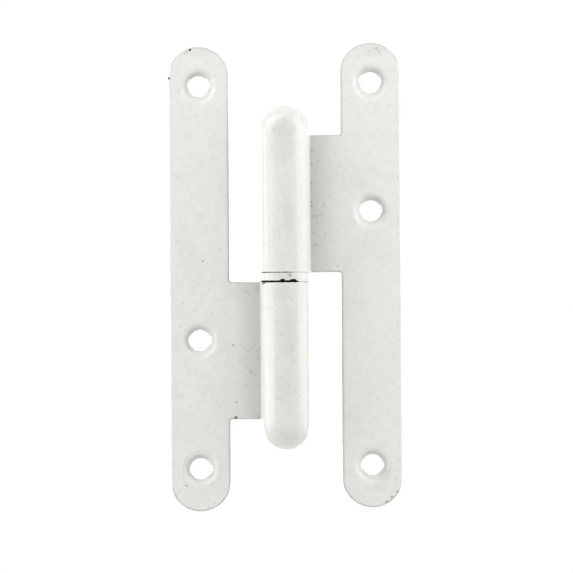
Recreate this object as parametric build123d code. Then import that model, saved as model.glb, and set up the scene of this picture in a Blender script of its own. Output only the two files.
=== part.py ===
from build123d import *
import math
import os

# Paumelle hinge, opened flat, in millimetres.
# The pin's axis is Z and the origin lies half-way between the two knuckles.
# The countersunk faces look towards -Y. The door leaf is on the +X side.

# Sheet and leaf outline
sheet = 2.5
leaf_length = 110.0
hinge_width = 55.0
strip_width = 14.3
notch_radius = 0.5
front_edge_radius = 0.5
back_edge_radius = 0.3

# Rolled knuckle: the sheet is swaged back to the pin's axis, wraps the pin and closes on the tab
pin_diameter = 7.0
closed_gap = 4.0
swage_radius = 1.5
seam_gap = 0.15
knuckle_length = 39.7
knuckle_step = 0.75
dome_height = 6.3
neck_length = 0.9

# Bearing ring between the knuckles
ring_thickness = 2.2
ring_setback = 0.15
ring_edge_radius = 0.2
ring_clearance = 0.1

# Pin: pressed into the lower knuckle, running in the upper one
running_clearance = 0.05
pin_foot_room = 0.6
pin_head_room = 2.4
pin_foot_chamfer = 0.8
pin_head_radius = 1.5

# Countersunk screw holes, three in each leaf, punched a little above the leaf's middle
hole_diameter = 5.0
countersink_diameter = 8.0
countersink_angle = 90.0
rim_radius = 1.4
throat_radius = 1.2
hole_end_distance = 9.7
hole_pitch = 30.4
hole_offset = 0.35

# Sizes that follow from those above
bore_radius = pin_diameter / 2
knuckle_radius = bore_radius + sheet
front_y = closed_gap / 2
back_y = front_y + sheet
bearing_z = ring_thickness / 2
leaf_z = bearing_z - knuckle_step
dome_z = bearing_z + knuckle_length - dome_height
tab_height = knuckle_length - dome_height - neck_length
tab_top_z = bearing_z + tab_height
strip_inner_x = hinge_width / 2 - strip_width
strip_centre_x = hinge_width / 2 - strip_width / 2

# The swage bends about a line behind the tab, tangent to the knuckle and to the tab's back face
swage_y = back_y + swage_radius
swage_x = math.sqrt((knuckle_radius + swage_radius) ** 2 - swage_y ** 2)
swage_turn = math.degrees(math.atan2(swage_y, swage_x))
roll_end_turn = math.degrees(math.asin((front_y - seam_gap) / knuckle_radius))

# The dome is drawn with a side arc and a nose arc that meet smoothly
tip_z = dome_z + dome_height
side_radius = dome_height * (dome_height + knuckle_radius) / (2 * knuckle_radius)
nose_radius = knuckle_radius ** 2 / dome_height
blend_turn = math.degrees(
    math.atan2((dome_height + knuckle_radius) / dome_height, 1 + dome_height / (2 * knuckle_radius))
)

end_hole_rise = leaf_length / 2 - hole_end_distance
hole_rises = (end_hole_rise, end_hole_rise - hole_pitch, -end_hole_rise)
hole_radius = hole_diameter / 2
countersink_radius = countersink_diameter / 2
sink_depth = (countersink_radius - hole_radius) / math.tan(math.radians(countersink_angle / 2))
same_place = 0.001


def polar(radius, turn):
    """Return the point of the plan view at a radius and a turn in degrees from +X."""
    return radius * math.cos(math.radians(turn)), radius * math.sin(math.radians(turn))


def leaf_blank():
    """Return the flat strip with its tab, its edges rounded, before the holes."""
    strip = Pos(strip_centre_x, leaf_z) * SlotOverall(leaf_length, strip_width, rotation=90)
    tab_width = strip_centre_x - swage_x
    tab = Pos(swage_x, bearing_z) * Rectangle(tab_width, tab_height, align=(Align.MIN, Align.MIN))
    outline = strip + tab
    notches = [
        corner
        for corner in outline.vertices()
        if abs(corner.X - strip_inner_x) < same_place
        and min(abs(corner.Y - bearing_z), abs(corner.Y - tab_top_z)) < same_place
    ]
    outline = fillet(notches, notch_radius)
    blank = extrude(Plane.XZ.offset(-back_y) * outline, sheet)
    for side, radius in ((0, front_edge_radius), (-1, back_edge_radius)):
        face = blank.faces().filter_by(Axis.Y).sort_by(Axis.Y)[side]
        free_edges = [edge for edge in face.edges() if edge.center().X > swage_x + same_place]
        blank = fillet(free_edges, radius)
    return blank


def screw_hole(rise):
    """Return the cutter of one countersunk hole at a rise above the leaf's middle."""
    into_leaf = Plane((strip_centre_x, front_y, leaf_z + rise), x_dir=(1, 0, 0), z_dir=(0, 1, 0))
    to_far_side = (Align.CENTER, Align.CENTER, Align.MIN)
    drill = Cylinder(hole_radius, sheet, align=to_far_side)
    sink = Cone(countersink_radius, hole_radius, sink_depth, align=to_far_side)
    return into_leaf * (drill + sink)


def drilled_leaf(offset):
    """Return the flat leaf with its countersunk holes moved by an offset, their rims and throats softened."""
    leaf = leaf_blank()
    for rise in hole_rises:
        leaf -= screw_hole(rise + offset)
    throat_y = front_y + sink_depth
    for radius, edge_y, rounding in (
        (countersink_radius, front_y, rim_radius),
        (hole_radius, throat_y, throat_radius),
    ):
        edges = [
            edge
            for edge in leaf.edges().filter_by(GeomType.CIRCLE)
            if abs(edge.radius - radius) < same_place and abs(edge.center().Y - edge_y) < same_place
        ]
        leaf = fillet(edges, rounding)
    return leaf


def swage():
    """Return the short bend that joins the tab to the roll, as wide as the tab."""
    start = swage_turn + 180
    sweep = 270 - start
    centre = (swage_x, swage_y)
    back = CenterArc(centre, swage_radius, start, sweep)
    front = CenterArc(centre, swage_radius + sheet, start, sweep)
    section = make_face([back, front, Line(back @ 0, front @ 0), Line(back @ 1, front @ 1)])
    bend = extrude(Pos(Z=bearing_z) * section, tab_height)
    for bend_radius, radius in ((swage_radius, back_edge_radius), (swage_radius + sheet, front_edge_radius)):
        ends = [
            edge
            for edge in bend.edges().filter_by(GeomType.CIRCLE)
            if abs(edge.radius - bend_radius) < same_place
        ]
        bend = fillet(ends, radius)
    return bend


def dome(inset):
    """Return the two arcs of the dome's profile, side then nose, set in from its outer skin."""
    side = CenterArc((knuckle_radius - side_radius, dome_z), side_radius - inset, 0, blend_turn)
    nose = CenterArc((0, tip_z - nose_radius), nose_radius - inset, blend_turn, 90 - blend_turn)
    return side, nose


def knuckle():
    """Return the rolled, dome-ended knuckle, open along its seam beside the tab."""
    mouth_z = bearing_z + front_edge_radius
    shoulder_z = bearing_z + back_edge_radius
    mouth_radius = bore_radius + front_edge_radius
    shoulder_radius = knuckle_radius - back_edge_radius
    section = make_face(
        [
            Line((mouth_radius, bearing_z), (shoulder_radius, bearing_z)),
            CenterArc((shoulder_radius, shoulder_z), back_edge_radius, 270, 90),
            Line((knuckle_radius, shoulder_z), (knuckle_radius, dome_z)),
            *dome(0),
            Line((0, tip_z), (0, tip_z - sheet)),
            *dome(sheet),
            Line((bore_radius, dome_z), (bore_radius, mouth_z)),
            CenterArc((mouth_radius, mouth_z), front_edge_radius, 180, 90),
        ]
    )
    roll = revolve(Plane.XZ * section, Axis.Z)
    reach = 2 * knuckle_radius
    opening = make_face(
        Polyline((0, 0), polar(reach, roll_end_turn), polar(reach, swage_turn), close=True)
    )
    return roll - extrude(Pos(Z=bearing_z) * opening, tab_height)


def whole_leaf(offset):
    """Return one leaf with its knuckle upwards: strip, tab, swage and knuckle in one sheet."""
    return drilled_leaf(offset) + swage() + knuckle()


def bearing_ring():
    """Return the ring that carries the upper knuckle on the lower one."""
    inner = bore_radius - running_clearance + ring_clearance
    width = knuckle_radius - ring_setback - inner
    section = RectangleRounded(width, ring_thickness, ring_edge_radius)
    return revolve(Plane.XZ * Pos(inner + width / 2, 0) * section, Axis.Z)


def hinge_pin():
    """Return the stepped pin, tight in the lower knuckle and free in the upper one."""
    foot_z = -(dome_z - pin_foot_room)
    head_z = dome_z - pin_head_room
    running_radius = bore_radius - running_clearance
    nose_radius = running_radius - pin_head_radius
    section = make_face(
        [
            Line((0, foot_z), (bore_radius - pin_foot_chamfer, foot_z)),
            Line((bore_radius - pin_foot_chamfer, foot_z), (bore_radius, foot_z + pin_foot_chamfer)),
            Line((bore_radius, foot_z + pin_foot_chamfer), (bore_radius, -bearing_z)),
            Line((bore_radius, -bearing_z), (running_radius, -bearing_z)),
            Line((running_radius, -bearing_z), (running_radius, head_z - pin_head_radius)),
            CenterArc((nose_radius, head_z - pin_head_radius), pin_head_radius, 0, 90),
            Line((nose_radius, head_z), (0, head_z)),
            Line((0, head_z), (0, foot_z)),
        ]
    )
    return revolve(Plane.XZ * section, Axis.Z)


nodes = {
    "door_leaf": whole_leaf(hole_offset),
    "frame_leaf": Rot(0, 180, 0) * whole_leaf(-hole_offset),
    "bearing_ring": bearing_ring(),
    "hinge_pin": hinge_pin(),
}

os.makedirs("parts", exist_ok=True)
for name, solid in nodes.items():
    export_step(solid, f"parts/{name}.step")
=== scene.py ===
"""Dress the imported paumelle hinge: worn white coat, bright pin, soft studio and camera.

Sizes in the fields are millimetres, as in the part's source, unless a name says otherwise.
Blender works in metres.
"""
import logging
import math
from dataclasses import dataclass
from enum import Enum
from typing import Any, List, Mapping, Optional, Protocol, Sequence, Tuple, Union

import bpy
from mathutils import Matrix, Vector

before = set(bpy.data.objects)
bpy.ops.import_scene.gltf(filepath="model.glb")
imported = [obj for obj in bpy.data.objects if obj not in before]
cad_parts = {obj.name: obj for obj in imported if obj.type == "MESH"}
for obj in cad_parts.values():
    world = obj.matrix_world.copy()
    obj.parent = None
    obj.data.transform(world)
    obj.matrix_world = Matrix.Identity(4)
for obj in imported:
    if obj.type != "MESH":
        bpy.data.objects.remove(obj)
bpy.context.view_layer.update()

LOG = logging.getLogger("paumelle_hinge")
MM = 0.001
PHOTO_SIDE_PX = 573
NOISE_MIDDLE = 0.5

Rgb = Tuple[float, float, float]
Place = Tuple[float, float, float]
# Where a mask is 0, and where it is 1.
Span = Tuple[float, float]
Key = Union[str, int]
Term = Union["Value", float, Sequence[float]]

WHITE: Rgb = (1.0, 1.0, 1.0)


class Value:
    """One output of a shader node, with operators that add Math nodes."""

    def __init__(self, board: "Board", socket: bpy.types.NodeSocket) -> None:
        """Keep the board and the socket."""
        self.board = board
        self.socket = socket

    def __getitem__(self, output: str) -> "Value":
        """Return another output of the same node."""
        return Value(self.board, self.socket.node.outputs[output])

    def _math(self, operation: str, *terms: Term) -> "Value":
        """Return the result of one Math node on the terms."""
        return self.board.node("ShaderNodeMath", {"operation": operation}, dict(enumerate(terms)))

    def __add__(self, other: Term) -> "Value":
        """Return the sum."""
        return self._math("ADD", self, other)

    __radd__ = __add__

    def __sub__(self, other: Term) -> "Value":
        """Return the difference."""
        return self._math("SUBTRACT", self, other)

    def __rsub__(self, other: Term) -> "Value":
        """Return the difference with the other term first."""
        return self._math("SUBTRACT", other, self)

    def __mul__(self, other: Term) -> "Value":
        """Return the product."""
        return self._math("MULTIPLY", self, other)

    __rmul__ = __mul__

    def __truediv__(self, other: Term) -> "Value":
        """Return the quotient."""
        return self._math("DIVIDE", self, other)

    def __rtruediv__(self, other: Term) -> "Value":
        """Return the quotient with the other term first."""
        return self._math("DIVIDE", other, self)

    def __pow__(self, other: Term) -> "Value":
        """Return the power."""
        return self._math("POWER", self, other)

    def __rpow__(self, other: Term) -> "Value":
        """Return the power with the other term as its base."""
        return self._math("POWER", other, self)

    def __or__(self, other: Term) -> "Value":
        """Return the larger of two masks."""
        return self._math("MAXIMUM", self, other)

    __ror__ = __or__

    def __abs__(self) -> "Value":
        """Return the size without its sign."""
        return self._math("ABSOLUTE", self)


class Board:
    """A shader's node tree while it is put together."""

    MIX_FACTOR, MIX_A, MIX_B, MIX_RESULT = 0, 6, 7, 2

    def __init__(self, tree: bpy.types.NodeTree) -> None:
        """Start with an empty tree."""
        self.tree = tree
        tree.nodes.clear()

    def node(
        self,
        kind: str,
        settings: Optional[Mapping[str, Any]] = None,
        inputs: Optional[Mapping[Key, Term]] = None,
        output: Key = 0,
    ) -> Optional[Value]:
        """Add one node.

        Args:
            kind: Blender's name for the type of node.
            settings: Properties of the node, set first.
            inputs: A value or a link for each socket, by name or number.
            output: The output that is wanted, by name or number.

        Returns:
            The wanted output, or None where the node has none.
        """
        node = self.tree.nodes.new(kind)
        for name, setting in (settings or {}).items():
            setattr(node, name, setting)
        for key, term in (inputs or {}).items():
            if isinstance(term, Value):
                self.tree.links.new(term.socket, node.inputs[key])
            else:
                node.inputs[key].default_value = term
        return Value(self, node.outputs[output]) if node.outputs else None

    def blend(self, mask: Term, under: Term, over: Term) -> Value:
        """Mix two colours.

        Args:
            mask: How much of the upper colour shows.
            under: The lower colour, linked or as four numbers.
            over: The upper colour, linked or as four numbers.

        Returns:
            The mixed colour.
        """
        inputs = {self.MIX_FACTOR: mask, self.MIX_A: under, self.MIX_B: over}
        return self.node("ShaderNodeMix", {"data_type": "RGBA"}, inputs, self.MIX_RESULT)

    def fade(self, value: Term, zero_at: Term, one_at: Term) -> Value:
        """Return a smooth mask that is 0 at one value and 1 at the other."""
        inputs = {"Value": value, "From Min": zero_at, "From Max": one_at}
        return self.node("ShaderNodeMapRange", {"interpolation_type": "SMOOTHSTEP"}, inputs)

    def noise(self, place: Value, grain: float, detail: float = 3.0, roughness: float = 0.5) -> Value:
        """Return a noise from 0 to 1.

        Args:
            place: Where it is read, in millimetres.
            grain: The size of its largest lumps, in millimetres.
            detail: How many finer layers it has.
            roughness: How strong the finer layers are.

        Returns:
            The noise's value.
        """
        inputs = {"Vector": place, "Scale": 1.0 / grain, "Detail": detail, "Roughness": roughness}
        return self.node("ShaderNodeTexNoise", None, inputs, "Fac")

    def vector(self, operation: str, *terms: Term, output: Key = "Vector") -> Value:
        """Return one output of a Vector Math node on the terms."""
        return self.node("ShaderNodeVectorMath", {"operation": operation}, dict(enumerate(terms)), output)

    def place_mm(self) -> Value:
        """Return the place on the piece, in the hinge's frame and in millimetres."""
        place = self.node("ShaderNodeTexCoord", output="Object")
        return self.vector("MULTIPLY", place, (1 / MM,) * 3)

    def axes(self, place: Value) -> Value:
        """Return a place's X; its ["Y"] and ["Z"] are the other two."""
        return self.node("ShaderNodeSeparateXYZ", None, {"Vector": place}, "X")

    def off_pin(self, place: Value) -> Value:
        """Return how far a place is from the pin's axis."""
        return self.vector("LENGTH", self.vector("MULTIPLY", place, (1.0, 1.0, 0.0)), output="Value")

    def show(self, shader: Value, kind: str = "ShaderNodeOutputMaterial") -> None:
        """Lead a shader to the tree's output node."""
        self.node(kind, None, {"Surface": shader})


def opaque(colour: Rgb) -> Tuple[float, float, float, float]:
    """Return a colour with full alpha."""
    return (*colour, 1.0)


def new_finish(name: str) -> Tuple[bpy.types.Material, Board]:
    """Return a new material and the board for its nodes.

    Args:
        name: The material's name.

    Returns:
        The material and its empty board.
    """
    material = bpy.data.materials.new(name)
    material.use_nodes = True
    return material, Board(material.node_tree)


class Side(Enum):
    """The two leaves, by what they are screwed to; the value is the sign of X and of the knuckle's Z."""

    FRAME = -1
    DOOR = 1


class Glow(Enum):
    """What a lamp adds to: all of a surface's light, only its gloss, or all but its gloss."""

    FULL = "full"
    GLOSS = "gloss"
    MATT = "matt"


class Rim(Enum):
    """How a chip ends; the value is the share of its radius that is broken all through."""

    CRISP = 0.6
    WORN = 0.1
    SOFT = 0.0


class Mark(Protocol):
    """A mark of wear, a stain, or a patch of painted shade: anything that has a mask."""

    def mask(self, board: Board, place: Value) -> Value:
        """Return the mark's mask at a place in millimetres."""


def joined(board: Board, place: Value, marks: Sequence[Mark]) -> Term:
    """Return the mask of some marks together.

    Args:
        board: The tree that takes the nodes.
        place: The place on the piece, in millimetres.
        marks: The marks.

    Returns:
        A mask from 0 to the strongest mark's strength.
    """
    mask = 0.0
    for mark in marks:
        mask = mark.mask(board, place) | mask
    return mask


@dataclass(frozen=True)
class Cloud:
    """Loose patches made from one noise, which is stretched, shifted and cut off below a level."""

    grain: float
    levels: Span
    detail: float = 3.0
    roughness: float = 0.5
    shift: Place = (0.0, 0.0, 0.0)
    stretch: Place = (1.0, 1.0, 1.0)

    def noise(self, board: Board, place: Value) -> Value:
        """Return the noise itself, from 0 to 1."""
        moved = board.vector("MULTIPLY_ADD", place, self.stretch, self.shift)
        return board.noise(moved, self.grain, self.detail, self.roughness)

    def mask(self, board: Board, place: Value) -> Value:
        """Return the mask of the patches, from 0 to 1."""
        return board.fade(self.noise(board, place), *self.levels)


@dataclass(frozen=True)
class Chip:
    """A spot where the coat is broken or stained, in the hinge's frame."""

    place: Place
    radius: float
    depth: float = 1.0
    rim: Rim = Rim.CRISP
    ragged_grain: float = 0.6
    raggedness: float = 1.2

    def mask(self, board: Board, place: Value) -> Value:
        """Return the ragged mask of the chip.

        Args:
            board: The tree that takes the nodes.
            place: The place on the piece, in millimetres.

        Returns:
            A mask from 0 to the chip's depth.
        """
        ragged = board.noise(place, self.ragged_grain) - NOISE_MIDDLE
        reach = board.vector("DISTANCE", place, self.place, output="Value")
        edge = reach + ragged * (self.raggedness * self.radius)
        return board.fade(edge, self.radius, self.rim.value * self.radius) * self.depth


@dataclass(frozen=True)
class StainAndShade:
    """A dull, warm patch with a loose outline, in the hinge's frame: mostly stains, some of them painted
    shade.
    """

    place: Place
    reach: Place
    strength: float
    softness: float = 0.7
    loose_grain: float = 1.6

    def mask(self, board: Board, place: Value) -> Value:
        """Return the mask of the patch.

        Args:
            board: The tree that takes the nodes.
            place: The place on the piece, in millimetres.

        Returns:
            A mask from 0 to the strength.
        """
        off = board.vector("DIVIDE", board.vector("SUBTRACT", place, self.place), self.reach)
        loose = board.noise(place, self.loose_grain) - NOISE_MIDDLE
        edge = board.vector("LENGTH", off, output="Value") + loose * self.softness
        return board.fade(edge, 1.0, 1.0 - self.softness) * self.strength


@dataclass(frozen=True)
class Scratch:
    """A fine straight scratch in the coat, in the hinge's frame."""

    start: Place
    end: Place
    strength: float = 0.15
    half_width: float = 0.24
    full_share: float = 0.5

    def mask(self, board: Board, place: Value) -> Value:
        """Return the mask of the scratch, which fades towards both ends.

        Args:
            board: The tree that takes the nodes.
            place: The place on the piece, in millimetres.

        Returns:
            A mask from 0 to the strength.
        """
        start, run = Vector(self.start), Vector(self.end) - Vector(self.start)
        half = run.length / 2
        off = board.vector("SUBTRACT", place, tuple(start))
        along = board.vector("DOT_PRODUCT", off, tuple(run / run.length), output="Value")
        beside = (board.vector("DOT_PRODUCT", off, off, output="Value") - along * along) ** 0.5
        ends = board.fade(abs(along - half), half, self.full_share * half)
        return board.fade(beside, self.half_width, 0.0) * ends * self.strength


@dataclass(frozen=True)
class Marks:
    """All the single marks of wear on one piece, with its patches of painted shade."""

    chips: Tuple[Chip, ...] = ()
    stains_and_shades: Tuple[StainAndShade, ...] = ()
    scratches: Tuple[Scratch, ...] = ()


@dataclass(frozen=True)
class CoatSpecks:
    """Dust and pin-holes baked into the coat, one dot in some of the cells of a loose pattern."""

    cell: float
    dot: float
    share: float
    strength: float
    swirl_detail: float = 1.0
    full_share: float = 0.8
    full_reach: float = 0.2

    def mask(self, board: Board, place: Value) -> Value:
        """Return the mask of the dots.

        Args:
            board: The tree that takes the nodes.
            place: The place on the piece, in millimetres.

        Returns:
            A mask from 0 to the strength of the dots.
        """
        inputs = {"Vector": place, "Scale": 1.0 / self.dot, "Detail": self.swirl_detail}
        swirl = board.node("ShaderNodeTexNoise", None, inputs, "Color")
        swirl = board.vector("SUBTRACT", swirl, (NOISE_MIDDLE,) * 3)
        bent = board.vector("MULTIPLY_ADD", swirl, (self.dot,) * 3, place)
        inputs = {"Vector": bent, "Scale": 1.0 / self.cell}
        cells = board.node("ShaderNodeTexVoronoi", None, inputs, "Distance")
        draw = board.node("ShaderNodeSeparateColor", None, {"Color": cells["Color"]}, "Red")
        chosen = board.fade(draw, 1.0 - self.share, 1.0 - self.full_share * self.share)
        reach = self.dot / self.cell
        return board.fade(cells, reach, self.full_reach * reach) * chosen * self.strength


@dataclass(frozen=True)
class WhiteCoat:
    """White powder coat over steel: orange peel, specks, tints, chips and bare bearing faces, with painted
    shade on the knuckle, in the tab corners, along the edges and in the screw holes.
    """

    colour: Rgb = (0.795, 0.803, 0.770)
    dull_colour: Rgb = (0.745, 0.748, 0.715)
    warm_colour: Rgb = (0.80, 0.760, 0.740)
    # Painted shade in the tab's corner beside the knuckle.
    corner_shade_colour: Rgb = (0.60, 0.61, 0.585)
    # Painted shade: the knuckle's coat is a little darker than the leaves' coat, standing for the weaker
    # light on its front.
    knuckle_shade_colour: Rgb = (0.755, 0.757, 0.722)
    # Stains, and painted shade where a patch stands for shade.
    stain_and_shade_colour: Rgb = (0.53, 0.51, 0.48)
    speck_colour: Rgb = (0.30, 0.27, 0.24)
    chip_colour: Rgb = (0.055, 0.048, 0.042)
    crack_colour: Rgb = (0.012, 0.010, 0.008)
    # Painted shade on the leaves' rounded front edges.
    edge_shade_colour: Rgb = (0.53, 0.535, 0.51)
    mottle_colour: Rgb = (0.62, 0.62, 0.595)
    # Painted shade in the countersinks' throats and on the holes' walls.
    throat_shade_colour: Rgb = (0.46, 0.455, 0.43)
    steel_colour: Rgb = (0.42, 0.41, 0.39)
    scuff_colour: Rgb = (0.16, 0.15, 0.14)
    dull_patches: Cloud = Cloud(9.0, (0.45, 0.75))
    dull_strength: float = 0.6
    warm_patches: Cloud = Cloud(6.0, (0.58, 0.75), detail=2.0, shift=(40.0, 7.0, 3.0))
    warm_strength: float = 0.5
    mottle: Cloud = Cloud(1.4, (0.42, 0.78), detail=4.0, roughness=0.62)
    mottle_strength: float = 0.30
    blotches: Cloud = Cloud(1.0, (0.54, 0.72), shift=(3.0, 17.0, 8.0))
    blotch_groups: Cloud = Cloud(6.0, (0.42, 0.62), detail=2.0, shift=(11.0, 5.0, 23.0))
    blotch_strength: float = 0.12
    blotch_more: float = 0.32
    blotch_more_to_x: Span = (14.0, 6.5)
    blotch_more_from_x: Span = (5.6, 6.4)
    corner_shade_to_x: Span = (13.6, 6.2)
    corner_shade_from_x: Span = (5.9, 6.1)
    corner_shade_to_z: Span = (34.5, 32.5)
    corner_shade_to_y: Span = (3.0, 2.2)
    roll_radius: Span = (6.3, 6.1)
    scuffs: Cloud = Cloud(0.8, (0.35, 0.7), detail=4.0, stretch=(1.0, 1.0, 6.0))
    roughness: float = 0.18
    roughness_spread: float = 0.06
    worn_roughness: float = 0.25
    peel_grain: float = 1.3
    peel_height: float = 0.012
    grit_grain: float = 0.35
    grit_height: float = 0.004
    relief_detail: float = 2.0
    broken_depth: float = 0.05
    bump_strength: float = 0.6
    specks: Tuple[CoatSpecks, ...] = (
        CoatSpecks(cell=1.2, dot=0.42, share=0.35, strength=0.07),
        CoatSpecks(cell=4.0, dot=0.45, share=0.25, strength=0.20),
    )

    def material(
        self,
        name: str,
        marks: Marks,
        crack: "Crack",
        bare: "BareZone",
        edges: Optional["ThinEdges"] = None,
    ) -> bpy.types.Material:
        """Make the coat for one piece.

        Args:
            name: The material's name.
            marks: The chips, stains, patches of painted shade and scratches of this piece.
            crack: The dark crack in the coat along this piece's joint.
            bare: Where the piece is bare steel.
            edges: The painted shade on the edges and in the screw holes, if the piece has such edges.

        Returns:
            The finished material.
        """
        material, board = new_finish(name)
        place = board.place_mm()
        broken = joined(board, place, marks.chips + marks.scratches)
        deep = crack.mask(board, place)
        steel = bare.mask(board, place)
        layers = self._own_layers(board, place, edges) + [
            # Stains and patches of painted shade.
            (joined(board, place, marks.stains_and_shades), self.stain_and_shade_colour),
            (broken, self.chip_colour),
            (deep, self.crack_colour),
        ]
        tint = opaque(self.colour)
        for mask, colour in layers:
            tint = board.blend(mask, tint, opaque(colour))
        scuffed = self.scuffs.mask(board, place)
        scuffed = board.blend(scuffed, opaque(self.steel_colour), opaque(self.scuff_colour))
        tint = board.blend(steel, tint, scuffed)
        peel = board.noise(place, self.peel_grain, self.relief_detail)
        grit = board.noise(place, self.grit_grain, self.relief_detail)
        gloss = self.roughness + (peel - NOISE_MIDDLE) * self.roughness_spread
        gloss = gloss + (broken | deep | steel) * self.worn_roughness
        height = peel * self.peel_height + grit * self.grit_height - (broken | deep) * self.broken_depth
        relief = {"Strength": self.bump_strength, "Distance": MM, "Height": height}
        bump = board.node("ShaderNodeBump", None, relief)
        inputs = {"Base Color": tint, "Roughness": gloss, "Metallic": steel | deep, "Normal": bump}
        board.show(board.node("ShaderNodeBsdfPrincipled", None, inputs))
        return material

    def _own_layers(
        self, board: Board, place: Value, edges: Optional["ThinEdges"]
    ) -> List[Tuple[Term, Rgb]]:
        """Return the tints that the coat has everywhere, with its painted shades, the lowest first.

        Args:
            board: The tree that takes the nodes.
            place: The place on the piece, in millimetres.
            edges: The painted shade on the edges and in the screw holes, if the piece has such edges.

        Returns:
            The mask and the colour of each tint.
        """
        layers = [
            (self.dull_patches.mask(board, place) * self.dull_strength, self.dull_colour),
            (self.warm_patches.mask(board, place) * self.warm_strength, self.warm_colour),
            # Painted shade in the tab's corner beside the knuckle.
            (self._corner_shade_mask(board, place), self.corner_shade_colour),
            # Painted shade on the knuckle and the ring: everything within the knuckle's radius is darker.
            (board.fade(board.off_pin(place), *self.roll_radius), self.knuckle_shade_colour),
        ]
        if edges:
            # Painted shade on the rounded front edges, darkest on the inner edges that face the knuckle.
            layers.append((edges.mask(board, place), self.edge_shade_colour))
            # Painted shade in the countersinks' throats and on the holes' walls.
            layers.append((edges.throat_shade_mask(board, place), self.throat_shade_colour))
        layers.append((self.mottle.mask(board, place) * self.mottle_strength, self.mottle_colour))
        layers.append((self._blotch_mask(board, place), self.speck_colour))
        layers.append((joined(board, place, self.specks), self.speck_colour))
        return layers

    def _blotch_mask(self, board: Board, place: Value) -> Value:
        """Return the mask of the loose blotches, which are thickest beside the knuckles.

        Args:
            board: The tree that takes the nodes.
            place: The place on the piece, in millimetres.

        Returns:
            A mask from 0 to the strength of the blotches.
        """
        off = abs(board.axes(place))
        beside = board.fade(off, *self.blotch_more_to_x) * board.fade(off, *self.blotch_more_from_x)
        blots = self.blotches.mask(board, place) * self.blotch_groups.mask(board, place)
        return blots * (beside * self.blotch_more + self.blotch_strength)

    def _corner_shade_mask(self, board: Board, place: Value) -> Value:
        """Return the painted shade on the tab's front, in the corner beside the knuckle where the knuckle's
        shade falls.

        Args:
            board: The tree that takes the nodes.
            place: The place on the piece, in millimetres.

        Returns:
            A mask from 0 to 1.
        """
        axes = board.axes(place)
        beside = board.fade(abs(axes), *self.corner_shade_to_x) * board.fade(abs(axes), *self.corner_shade_from_x)
        tab = board.fade(abs(axes["Z"]), *self.corner_shade_to_z)
        return beside * tab * board.fade(axes["Y"], *self.corner_shade_to_y)


@dataclass(frozen=True)
class ThinEdges:
    """Painted shade on a leaf's rounded front edges, darkest on its inner edges beside the knuckle, and
    painted shade in its screw holes.
    """

    holes: Tuple[Tuple[float, float], ...]
    tab_z: float
    front_y: Span = (2.7, 2.5)
    rounding_y: Span = (2.001, 2.04)
    ragged: Cloud = Cloud(2.0, (0.2, 0.6))
    ragged_least: float = 0.5
    from_knuckle_x: Span = (6.1, 6.3)
    to_outer_x: Span = (27.3, 26.5)
    off_hole: Span = (4.9, 5.2)
    inner_to_x: Span = (14.1, 13.2)
    inner_from_x: Span = (12.2, 12.7)
    beyond_tab: Span = (15.65, 16.85)
    inner_strength: float = 0.75
    throat: Span = (3.9, 2.9)
    throat_strength: float = 0.12
    lean: Span = (-0.4, 0.9)
    lean_strength: float = 0.42
    wall: Span = (2.72, 2.62)
    wall_strength: float = 0.75
    throat_shade_to_y: Span = (4.4, 4.2)
    throat_shade_grain: float = 1.5
    throat_shade_detail: float = 2.0
    throat_shade_least: float = 0.7
    throat_shade_spread: float = 0.6

    @staticmethod
    def _from_hole(board: Board, place: Value, hole: Tuple[float, float]) -> Value:
        """Return the way from a hole's axis to a place, square to that axis."""
        flat = board.vector("MULTIPLY", place, (1.0, 0.0, 1.0))
        return board.vector("SUBTRACT", flat, (hole[0], 0.0, hole[1]))

    def mask(self, board: Board, place: Value) -> Value:
        """Return the mask of the painted shade on the rounded front edges and on the inner edges.

        Args:
            board: The tree that takes the nodes.
            place: The place on the piece, in millimetres.

        Returns:
            A mask from 0 to 1.
        """
        axes = board.axes(place)
        off = abs(axes)
        ragged = self.ragged.mask(board, place) * (1.0 - self.ragged_least) + self.ragged_least
        mask = board.fade(axes["Y"], *self.rounding_y) * ragged
        mask = mask * board.fade(off, *self.from_knuckle_x) * board.fade(off, *self.to_outer_x)
        for hole in self.holes:
            reach = board.vector("LENGTH", self._from_hole(board, place, hole), output="Value")
            mask = mask * board.fade(reach, *self.off_hole)
        inner = board.fade(off, *self.inner_to_x) * board.fade(off, *self.inner_from_x)
        inner = inner * board.fade(abs(axes["Z"] - self.tab_z), *self.beyond_tab)
        return (mask | inner * self.inner_strength) * board.fade(axes["Y"], *self.front_y)

    def throat_shade_mask(self, board: Board, place: Value) -> Value:
        """Return the mask of the painted shade deep in the countersinks and on the holes' walls, darkest on
        their upper outer sides, away from the light.

        Args:
            board: The tree that takes the nodes.
            place: The place on the piece, in millimetres.

        Returns:
            A mask from 0 to 1.
        """
        throat, wall = 0.0, 0.0
        for hole in self.holes:
            off = self._from_hole(board, place, hole)
            reach = board.vector("LENGTH", off, output="Value")
            outward_up = (math.copysign(math.sqrt(0.5), hole[0]), 0.0, math.sqrt(0.5))
            lean = board.vector("DOT_PRODUCT", off, outward_up, output="Value") / reach
            # Painted shade, darker on each hole's upper outer side.
            leaning_shade = board.fade(lean, *self.lean) * self.lean_strength + self.throat_strength
            throat = board.fade(reach, *self.throat) * leaning_shade | throat
            wall = board.fade(reach, *self.wall) | wall
        shade_noise = board.noise(place, self.throat_shade_grain, self.throat_shade_detail)
        shade_noise = (shade_noise * self.throat_shade_spread + self.throat_shade_least) * throat
        shade_noise = shade_noise * board.fade(board.axes(place)["Y"], *self.throat_shade_to_y)
        return shade_noise | wall * self.wall_strength


@dataclass(frozen=True)
class Flake:
    """A scale of coat that has broken away beside a joint, on the front."""

    x: float
    half_width: float
    height: float


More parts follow.
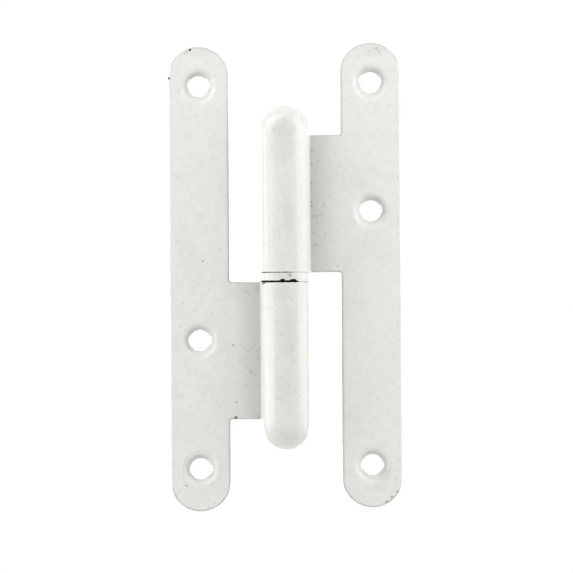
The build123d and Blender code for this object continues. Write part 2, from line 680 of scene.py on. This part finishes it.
@dataclass(frozen=True)
class Crack:
    """The crack in the coat along a joint between two turned faces; away is the sign of Z off the joint."""

    joint_z: float
    away: float
    width: float
    thin_width: float
    thins_x: Span
    flakes: Tuple[Flake, ...] = ()
    front_y: Span = (1.0, -1.0)
    roll_radius: Span = (6.6, 6.2)
    rim: Span = (0.06, -0.06)
    ragged_grain: float = 0.9
    wander: float = 0.25
    flake_rim: Span = (0.08, -0.08)
    flake_wander: float = 0.3
    flake_power: float = 4.0

    def mask(self, board: Board, place: Value) -> Value:
        """Return the mask of the crack.

        Args:
            board: The tree that takes the nodes.
            place: The place on the piece, in millimetres.

        Returns:
            A mask from 0 to 1.
        """
        axes = board.axes(place)
        ragged = board.noise(place, self.ragged_grain) - NOISE_MIDDLE
        front = board.fade(axes["Y"], *self.front_y)
        thinning = board.fade(axes, *self.thins_x) * front
        width = self.width + thinning * (self.thin_width - self.width) + ragged * self.wander
        off = (axes["Z"] - self.joint_z) * self.away
        mask = board.fade(off - width, *self.rim) * board.fade(board.off_pin(place), *self.roll_radius)
        for flake in self.flakes:
            aside = abs(axes - flake.x) / flake.half_width
            top = (1.0 - aside ** self.flake_power) * flake.height + ragged * self.flake_wander
            mask = mask | board.fade(off - top, *self.flake_rim) * front
        return mask


@dataclass(frozen=True)
class BareZone:
    """Where a piece has no coat: its bore and its bearing face."""

    bore_radius: float
    face_z: float
    face_radius: float
    bore_margin: Span = (0.35, 0.15)
    bore_to_z: Span = (37.5, 36.5)
    face_depth: Span = (0.06, 0.03)
    face_rim: float = 0.4

    def mask(self, board: Board, place: Value) -> Value:
        """Return the mask of the bare steel.

        Args:
            board: The tree that takes the nodes.
            place: The place on the piece, in millimetres.

        Returns:
            A mask from 0 to 1.
        """
        rise, reach = board.axes(place)["Z"], board.off_pin(place)
        bore = board.fade(reach, *(self.bore_radius + margin for margin in self.bore_margin))
        bore = bore * board.fade(abs(rise), *self.bore_to_z)
        face = board.fade(abs(rise - self.face_z), *self.face_depth)
        return bore | face * board.fade(reach, self.face_radius, self.face_radius - self.face_rim)


@dataclass(frozen=True)
class DrawnSteel:
    """Bright drawn steel with fine lines along its length and an oily film."""

    colour: Rgb = (0.56, 0.56, 0.55)
    dark_colour: Rgb = (0.30, 0.29, 0.27)
    lines: Cloud = Cloud(1.0, (0.35, 0.75), detail=4.0, roughness=0.6, stretch=(6.0, 6.0, 0.15))
    line_strength: float = 0.5
    line_height: float = 0.01
    film: Cloud = Cloud(5.0, (0.55, 0.8))
    film_strength: float = 0.4
    roughness: float = 0.28
    line_roughness: float = 0.2
    film_roughness: float = 0.15
    bump_strength: float = 0.4

    def material(self, name: str) -> bpy.types.Material:
        """Make the steel.

        Args:
            name: The material's name.

        Returns:
            The finished material.
        """
        material, board = new_finish(name)
        place = board.place_mm()
        tint = opaque(self.colour)
        for cloud, strength in ((self.lines, self.line_strength), (self.film, self.film_strength)):
            tint = board.blend(cloud.mask(board, place) * strength, tint, opaque(self.dark_colour))
        lines, film = self.lines.noise(board, place), self.film.noise(board, place)
        gloss = self.roughness + (lines - NOISE_MIDDLE) * self.line_roughness
        gloss = gloss + (film - NOISE_MIDDLE) * self.film_roughness
        relief = {"Strength": self.bump_strength, "Distance": MM, "Height": lines * self.line_height}
        bump = board.node("ShaderNodeBump", None, relief)
        inputs = {"Base Color": tint, "Roughness": gloss, "Normal": bump, "Metallic": 1.0}
        board.show(board.node("ShaderNodeBsdfPrincipled", None, inputs))
        return material


def wear(node: str, material: bpy.types.Material) -> None:
    """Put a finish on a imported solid.

    Args:
        node: The solid's name.
        material: Its finish.
    """
    mesh = bpy.data.objects[node].data
    mesh.materials.clear()
    mesh.materials.append(material)
    LOG.info("%s wears %s", node, material.name)


@dataclass
class Leaf:
    """One leaf: strip, tab and rolled knuckle in a single sheet."""

    node: str
    side: Side
    coat: WhiteCoat
    marks: Marks
    bore_radius: float = 3.5
    bearing_z: float = 1.1
    bearing_radius: float = 5.6
    strip_x: float = 20.35
    leaf_z: float = 0.35
    tab_z: float = 17.35
    hole_rises: Tuple[float, ...] = (45.3, 14.9, -45.3)
    hole_offset: float = 0.35
    crack_width: float = 0.12
    crack_thin_width: float = -0.2
    crack_thins_x: Span = (1.0, 2.6)

    def dress(self) -> None:
        """Give the leaf its coat, its chips and its bare bore."""
        way = self.side.value
        face_z = way * self.bearing_z
        crack = Crack(face_z, way, self.crack_width, self.crack_thin_width, self.crack_thins_x)
        bare = BareZone(self.bore_radius, face_z, self.bearing_radius)
        heights = (way * (self.leaf_z + rise) + self.hole_offset for rise in self.hole_rises)
        holes = tuple((way * self.strip_x, height) for height in heights)
        edges = ThinEdges(holes, way * self.tab_z)
        name = f"{self.node}_white_coat"
        wear(self.node, self.coat.material(name, self.marks, crack, bare, edges))


@dataclass
class BearingRing:
    """The ring between the knuckles, its coat cracked away along the lower joint."""

    node: str = "bearing_ring"
    coat: WhiteCoat = WhiteCoat()
    inner_radius: float = 3.55
    lower_z: float = -1.1
    face_radius: float = 5.5
    crack_width: float = 0.36
    crack_thin_width: float = -0.3
    crack_thins_x: Span = (2.4, 4.2)
    flakes: Tuple[Flake, ...] = (Flake(-0.66, 0.72, 0.68), Flake(1.8, 0.95, 0.66))
    marks: Marks = Marks(
        (Chip((1.1, -5.75, 0.4), 0.42, 0.6),),
        (StainAndShade((0.5, -5.8, 0.0), (4.5, 3.0, 1.2), strength=0.2),),
    )

    def dress(self) -> None:
        """Give the ring its cracked coat and its bare bore."""
        crack = Crack(
            self.lower_z,
            away=1,
            width=self.crack_width,
            thin_width=self.crack_thin_width,
            thins_x=self.crack_thins_x,
            flakes=self.flakes,
        )
        bare = BareZone(self.inner_radius, self.lower_z, self.face_radius)
        wear(self.node, self.coat.material("bearing_ring_coat", self.marks, crack, bare))


@dataclass
class HingePin:
    """The hidden pin, seen when the door leaf is lifted off."""

    node: str = "hinge_pin"
    steel: DrawnSteel = DrawnSteel()

    def dress(self) -> None:
        """Give the pin its drawn steel."""
        wear(self.node, self.steel.material("hinge_pin_steel"))


@dataclass(frozen=True)
class SoftBox:
    """One area lamp, aimed at the hinge; turns are from the camera's side, + to the right and up."""

    name: str
    turn_deg: float
    rise_deg: float
    power_w: float
    distance_m: float = 0.30
    width_m: float = 0.20
    height_m: float = 0.20
    glow: Glow = Glow.FULL

    def build(self) -> None:
        """Make the lamp and link it to the scene."""
        lamp = bpy.data.lights.new(self.name, "AREA")
        lamp.shape = "RECTANGLE"
        lamp.size, lamp.size_y = self.width_m, self.height_m
        lamp.energy = self.power_w
        box = bpy.data.objects.new(self.name, lamp)
        bpy.context.scene.collection.objects.link(box)
        turn, rise = math.radians(self.turn_deg), math.radians(self.rise_deg)
        level = math.cos(rise)
        towards = Vector((math.sin(turn) * level, -math.cos(turn) * level, math.sin(rise)))
        box.location = towards * self.distance_m
        box.rotation_euler = (-towards).to_track_quat("-Z", "Y").to_euler()
        box.visible_camera = False
        box.visible_diffuse = self.glow is not Glow.GLOSS
        box.visible_glossy = self.glow is not Glow.MATT
        LOG.info("%s lit at %.2f W", self.name, self.power_w)


@dataclass
class Studio:
    """A pale floor and a white surround with soft boxes all round."""

    floor_z_m: float = -0.14
    floor_side_m: float = 6.0
    shade_radius_m: float = 0.12
    white_radius_m: float = 0.30
    floor_colour: Rgb = (0.86, 0.86, 0.85)
    ambient_colour: Rgb = (1.0, 1.0, 0.99)
    ambient: float = 0.20
    gloss_share: float = 0.5
    boxes: Tuple[SoftBox, ...] = (
        SoftBox("front_panel", 0.0, 0.0, 0.265, 0.36, 0.44, 0.44),
        SoftBox("top_panel", 0.0, 66.0, 0.05, 0.32, 0.30, 0.10),
        SoftBox("left_high_box", -45.0, 55.0, 0.18, 0.32),
        SoftBox("right_near_box", 65.0, 32.0, 0.19, 0.22),
        SoftBox("left_key_box", -75.0, 35.0, 0.32),
        SoftBox("right_key_box", 75.0, 35.0, 0.05),
        SoftBox("left_side_box", -75.0, 10.0, 0.11),
        SoftBox("right_side_box", 75.0, 10.0, 0.22),
        SoftBox("left_low_box", -75.0, -20.0, 0.25),
        SoftBox("right_low_box", 75.0, -20.0, 0.08),
        SoftBox("left_front_box", -50.0, 10.0, 0.06),
        SoftBox("right_front_box", 50.0, 35.0, 0.07),
        SoftBox("left_rim_box", -130.0, 55.0, 0.24, 0.32, glow=Glow.MATT),
        SoftBox("right_rim_box", 130.0, 55.0, 0.21, 0.32, glow=Glow.MATT),
        SoftBox("back_low_box", 180.0, -20.0, 0.41, 0.36, 0.30, 0.30),
        SoftBox("back_high_box", 180.0, 20.0, 0.46, 0.36, 0.30, 0.30),
        SoftBox("left_gloss", -125.0, -20.0, 2.3, 0.36, 0.44, 0.44, Glow.GLOSS),
        SoftBox("right_gloss", 125.0, -20.0, 1.95, 0.36, 0.44, 0.44, Glow.GLOSS),
    )

    def build(self) -> None:
        """Make the surround, the floor and the lamps."""
        self._surround()
        self._floor()
        for box in self.boxes:
            box.build()

    def _seen(self, board: Board) -> Value:
        """Return 1 for rays that show the background, less for its reflection, 0 for the hinge's light."""
        path = board.node("ShaderNodeLightPath", output="Is Camera Ray")
        return path | path["Is Glossy Ray"] * self.gloss_share | path["Is Transmission Ray"]

    def _surround(self) -> None:
        """Make a world that looks white and lights softly."""
        world = bpy.data.worlds.new("white_surround")
        world.use_nodes = True
        bpy.context.scene.world = world
        board = Board(world.node_tree)
        white = board.node("ShaderNodeBackground", None, {"Color": opaque(WHITE), "Strength": 1.0})
        ambient = {"Color": opaque(self.ambient_colour), "Strength": self.ambient}
        soft = board.node("ShaderNodeBackground", None, ambient)
        shown = board.node("ShaderNodeMixShader", None, {0: self._seen(board), 1: soft, 2: white})
        board.show(shown, "ShaderNodeOutputWorld")

    def _floor(self) -> None:
        """Make the floor: pale with the hinge's shadow, plain white further out, clear from below."""
        half = self.floor_side_m / 2
        square = ((-half, -half), (half, -half), (half, half), (-half, half))
        corners = [(x, y, self.floor_z_m) for x, y in square]
        mesh = bpy.data.meshes.new("studio_floor")
        mesh.from_pydata(corners, [], [tuple(range(len(corners)))])
        floor = bpy.data.objects.new("studio_floor", mesh)
        bpy.context.scene.collection.objects.link(floor)
        material, board = new_finish("studio_floor_pale")
        place = board.node("ShaderNodeTexCoord", output="Object")
        far = board.fade(board.off_pin(place), self.shade_radius_m, self.white_radius_m)
        pale = board.node("ShaderNodeBsdfDiffuse", None, {"Color": opaque(self.floor_colour)})
        white = board.node("ShaderNodeEmission", None, {"Color": opaque(WHITE), "Strength": 1.0})
        top = board.node("ShaderNodeMixShader", None, {0: far * self._seen(board), 1: pale, 2: white})
        from_below = board.node("ShaderNodeNewGeometry", output="Backfacing")
        clear = board.node("ShaderNodeBsdfTransparent")
        board.show(board.node("ShaderNodeMixShader", None, {0: from_below, 1: top, 2: clear}))
        mesh.materials.append(material)
        LOG.info("studio_floor laid")


@dataclass(frozen=True)
class PhotoCamera:
    """The photograph's view: square on to the countersunk faces, from far off."""

    distance_m: float = 0.80
    px_per_mm: float = 4.2245
    leaf_face_y: float = 2.0
    aim_x: float = 0.24
    aim_z: float = -2.22
    roll_deg: float = 0.39
    sensor_mm: float = 36.0
    clip_from_m: float = 0.01
    clip_to_m: float = 50.0

    def build(self) -> None:
        """Make the camera and set it as the scene's own."""
        lens = bpy.data.cameras.new("photo_camera")
        lens.sensor_fit = "HORIZONTAL"
        lens.sensor_width = self.sensor_mm
        frame_m = PHOTO_SIDE_PX / self.px_per_mm * MM
        lens.lens = self.sensor_mm * self.distance_m / frame_m
        lens.clip_start, lens.clip_end = self.clip_from_m, self.clip_to_m
        camera = bpy.data.objects.new("photo_camera", lens)
        bpy.context.scene.collection.objects.link(camera)
        roll = math.radians(self.roll_deg)
        back = Vector((0.0, -1.0, 0.0))
        up = Vector((math.sin(roll), 0.0, math.cos(roll)))
        right = up.cross(back)
        turn = Matrix((right, up, back)).transposed().to_4x4()
        eye = Vector((self.aim_x * MM, self.leaf_face_y * MM - self.distance_m, self.aim_z * MM))
        camera.matrix_world = Matrix.Translation(eye) @ turn
        bpy.context.scene.camera = camera


FRAME_LEAF_MARKS = Marks(
    chips=(
        # Edges of the strip and the tab
        Chip((-22.24, 2.05, 53.95), 0.42, 1.0),
        Chip((-22.95, 2.05, 53.3), 0.45, 0.32, Rim.WORN),
        Chip((-23.5, 2.0, 53.0), 0.40, 0.24, Rim.WORN),
        Chip((-27.3, 2.14, 47.25), 0.42, 1.0),
        Chip((-12.0, 2.05, -33.2), 0.50, 0.85),
        # Top of the knuckle, beside the crack
        Chip((-5.30, -2.8, -1.40), 0.50, 1.0),
        Chip((-4.85, -3.5, -1.25), 0.40, 1.0),
        # Foot of the strip
        Chip((-23.7, 2.0, -49.2), 0.34, 0.55),
        Chip((-26.9, 2.0, -50.2), 0.55, 0.26, Rim.WORN),
        Chip((-26.1, 2.0, -51.5), 0.50, 0.20, Rim.WORN),
        Chip((-18.5, 2.05, -54.4), 0.45, 0.32, Rim.WORN),
        Chip((-17.1, 2.0, -53.3), 0.40, 0.24, Rim.WORN),
        # Tab
        Chip((-12.5, 2.0, -16.0), 0.30, 0.6),
        Chip((-11.8, 2.0, -29.6), 0.36, 0.32),
        Chip((-9.4, 2.0, -3.2), 0.70, 0.18, Rim.SOFT),
        Chip((-8.2, 2.0, -22.2), 0.75, 0.17, Rim.SOFT),
        Chip((-7.4, 2.0, -23.0), 0.60, 0.17, Rim.SOFT),
        Chip((-9.4, 2.0, -25.7), 0.70, 0.14, Rim.SOFT),
        Chip((-6.4, 2.0, -25.8), 0.50, 0.22, Rim.SOFT),
        Chip((-6.7, 2.0, -2.5), 0.90, 0.18, Rim.SOFT),
        Chip((-6.6, 2.0, -33.0), 0.80, 0.22, Rim.SOFT),
        # Face of the strip
        Chip((-19.5, 2.0, 3.9), 0.32, 0.42),
        Chip((-22.1, 2.0, -0.8), 0.34, 0.28, Rim.SOFT),
        Chip((-18.1, 2.0, -2.9), 0.36, 0.26, Rim.SOFT),
        Chip((-22.0, 2.0, -3.9), 0.34, 0.26, Rim.SOFT),
        Chip((-21.9, 2.0, -5.0), 0.34, 0.20, Rim.SOFT),
        Chip((-24.3, 2.0, -5.9), 0.50, 0.20, Rim.SOFT),
        Chip((-17.5, 2.0, -8.4), 0.34, 0.20, Rim.SOFT),
        Chip((-24.8, 2.0, -11.2), 0.30, 0.24, Rim.SOFT),
        Chip((-22.0, 2.0, 18.9), 0.36, 0.24, Rim.SOFT),
        Chip((-22.4, 2.0, 26.7), 0.34, 0.24, Rim.SOFT),
        Chip((-19.3, 2.0, 26.9), 0.34, 0.24, Rim.SOFT),
        Chip((-20.9, 2.0, 38.5), 0.34, 0.20, Rim.SOFT),
        Chip((-25.2, 2.0, 5.9), 0.36, 0.22, Rim.SOFT),
        Chip((-19.7, 2.0, -27.2), 0.32, 0.26, Rim.SOFT),
        Chip((-22.8, 2.0, -30.5), 0.46, 0.20, Rim.SOFT),
        Chip((-17.0, 2.0, -36.3), 0.30, 0.30, Rim.SOFT),
        # Front of the knuckle
        Chip((-2.3, -5.5, -10.6), 0.62, 0.16, Rim.SOFT),
        Chip((-0.9, -5.9, -13.4), 0.58, 0.18, Rim.SOFT),
        Chip((1.2, -5.9, -16.3), 0.56, 0.15, Rim.SOFT),
        Chip((1.5, -5.8, -17.2), 0.50, 0.14, Rim.SOFT),
        Chip((-2.0, -5.6, -18.8), 0.70, 0.10, Rim.SOFT),
        Chip((4.3, -4.2, -18.7), 0.40, 0.15, Rim.SOFT),
        Chip((-0.9, -5.9, -23.7), 0.58, 0.19, Rim.SOFT),
        Chip((0.6, -6.0, -25.4), 0.55, 0.12, Rim.SOFT),
        Chip((2.0, -5.65, -26.8), 0.55, 0.12, Rim.SOFT),
        Chip((3.2, -5.1, -27.7), 0.62, 0.16, Rim.SOFT),
        Chip((-2.0, -5.6, -28.4), 0.62, 0.15, Rim.SOFT),
        Chip((-1.1, -5.9, -28.6), 0.55, 0.12, Rim.SOFT),
        Chip((0.9, -5.9, -31.0), 0.55, 0.10, Rim.SOFT),
        Chip((-1.9, -5.7, -6.6), 0.60, 0.10, Rim.SOFT),
        Chip((1.3, -5.9, -5.1), 0.40, 0.11, Rim.SOFT),
    ),
    stains_and_shades=(
        StainAndShade((-1.0, -5.9, -3.2), (3.0, 3.0, 3.6), strength=0.22),
        StainAndShade((0.3, -5.9, -13.0), (3.4, 3.2, 10.0), strength=0.18),
        StainAndShade((-0.6, -5.9, -26.0), (3.0, 3.0, 6.0), strength=0.16),
        # Painted shade across the tip of the lower dome, which gets little light from below.
        StainAndShade((0.0, -4.0, -38.4), (7.0, 7.0, 3.2), strength=0.18),
        StainAndShade((-20.4, 2.0, 53.8), (6.0, 1.2, 2.2), strength=0.16),
    ),
    scratches=(Scratch((-26.7, 2.0, 25.3), (-25.0, 2.0, 23.1)),),
)
DOOR_LEAF_MARKS = Marks(
    chips=(
        # Head of the strip
        Chip((21.9, 2.05, 53.9), 0.60, 0.30, Rim.WORN),
        Chip((22.6, 2.0, 53.2), 0.50, 0.24, Rim.WORN),
        Chip((22.6, 2.0, 52.4), 0.34, 0.20, Rim.SOFT),
        Chip((20.1, 2.0, 53.5), 0.36, 0.16, Rim.SOFT),
        # Face of the strip
        Chip((25.8, 2.0, -47.6), 0.90, 0.14, Rim.SOFT),
        Chip((23.3, 2.0, 2.5), 0.34, 0.24, Rim.SOFT),
        Chip((26.7, 2.0, 10.0), 0.36, 0.24, Rim.SOFT),
        Chip((26.8, 2.0, 23.3), 0.36, 0.22, Rim.SOFT),
        Chip((23.7, 2.0, 22.4), 0.36, 0.20, Rim.SOFT),
        Chip((23.9, 2.0, 15.0), 0.34, 0.20, Rim.SOFT),
        Chip((25.4, 2.0, 29.4), 0.34, 0.20, Rim.SOFT),
        Chip((25.1, 2.0, 48.4), 0.34, 0.22, Rim.SOFT),
        # Foot of the strip
        Chip((26.2, 2.1, -50.9), 0.4, 0.42),
        Chip((24.9, 2.1, -52.2), 0.5, 0.40),
        Chip((23.6, 2.1, -53.3), 0.4, 0.50),
        # Tab, and the corner beside the knuckle
        Chip((9.5, 2.0, 9.9), 0.42, 0.24, Rim.WORN),
        Chip((9.3, 2.0, 17.1), 0.50, 0.24, Rim.WORN),
        Chip((10.7, 2.0, 19.1), 0.44, 0.22, Rim.WORN),
        Chip((6.4, 2.0, 30.0), 0.75, 0.20, Rim.SOFT),
        Chip((6.3, 2.0, 26.7), 0.60, 0.16, Rim.SOFT),
        Chip((6.3, 2.0, 22.2), 0.50, 0.24, Rim.SOFT),
        Chip((6.2, 2.0, 17.7), 0.40, 0.34, Rim.WORN),
        Chip((6.2, 2.0, 16.8), 0.45, 0.42, Rim.WORN),
        Chip((6.4, 2.0, 14.3), 0.60, 0.24, Rim.SOFT),
        Chip((7.1, 2.0, 14.4), 0.55, 0.18, Rim.SOFT),
        Chip((6.8, 2.0, 10.4), 0.75, 0.22, Rim.SOFT),
        Chip((7.1, 2.0, 7.5), 0.75, 0.20, Rim.SOFT),
        Chip((14.4, 2.0, 28.0), 0.45, 0.15, Rim.SOFT),
        Chip((13.0, 2.0, 26.1), 0.50, 0.15, Rim.SOFT),
        Chip((13.9, 2.0, 23.8), 0.50, 0.13, Rim.SOFT),
        Chip((12.6, 2.0, 2.5), 0.60, 0.16, Rim.SOFT),
        # Dome of the knuckle
        Chip((-0.2, -5.45, 37.1), 0.40, 0.26, Rim.SOFT),
        Chip((-2.46, -5.47, 34.7), 0.36, 0.16, Rim.SOFT),
        Chip((0.23, -6.0, 34.2), 0.36, 0.15, Rim.SOFT),
        Chip((-1.05, -5.9, 33.5), 0.36, 0.16, Rim.SOFT),
        Chip((-2.9, -5.25, 30.5), 0.36, 0.14, Rim.SOFT),
    ),
    stains_and_shades=(
        # Painted shade on the upper dome, below the edge of the top lamp's reflection.
        StainAndShade((0.0, -5.5, 35.0), (4.0, 4.5, 2.9), strength=0.24, softness=0.4),
        StainAndShade((-0.6, -5.9, 31.2), (3.8, 3.0, 6.2), strength=0.16, softness=0.5),
        StainAndShade((0.7, -5.9, 14.5), (1.8, 3.0, 6.0), strength=0.22),
        # Painted shade along the tab's corner beside the knuckle.
        StainAndShade((6.0, 2.0, 17.0), (2.2, 1.5, 16.0), strength=0.36, softness=0.9),
        StainAndShade((10.6, 2.0, 4.3), (2.2, 1.0, 1.8), strength=0.14),
        StainAndShade((22.6, 2.4, -46.4), (3.4, 2.0, 3.2), strength=0.32),
        StainAndShade((22.0, 2.0, -49.8), (2.4, 1.0, 1.6), strength=0.22),
        StainAndShade((21.0, 2.0, 53.6), (6.0, 1.2, 2.4), strength=0.22),
    ),
    scratches=(
        Scratch((6.4, 2.0, 16.6), (10.3, 2.0, 14.6)),
        Scratch((6.6, 2.0, 15.9), (9.6, 2.0, 14.4), strength=0.11),
        Scratch((6.3, 2.0, 12.0), (8.4, 2.0, 12.9), strength=0.11),
        Scratch((6.4, 2.0, 24.0), (8.6, 2.0, 26.4), strength=0.09),
    ),
)


def main() -> None:
    """Build the studio and dress each piece in order."""
    logging.basicConfig(level=logging.INFO, format="%(name)s: %(message)s")
    bpy.context.scene.view_settings.view_transform = "Standard"
    coat = WhiteCoat()
    Leaf(
        "frame_leaf",
        Side.FRAME,
        coat,
        FRAME_LEAF_MARKS,
        crack_width=0.14,
        crack_thins_x=(2.4, 4.4),
    ).dress()
    Leaf("door_leaf", Side.DOOR, coat, DOOR_LEAF_MARKS).dress()
    BearingRing().dress()
    HingePin().dress()
    Studio().build()
    PhotoCamera().build()


if __name__ == "__main__":
    main()
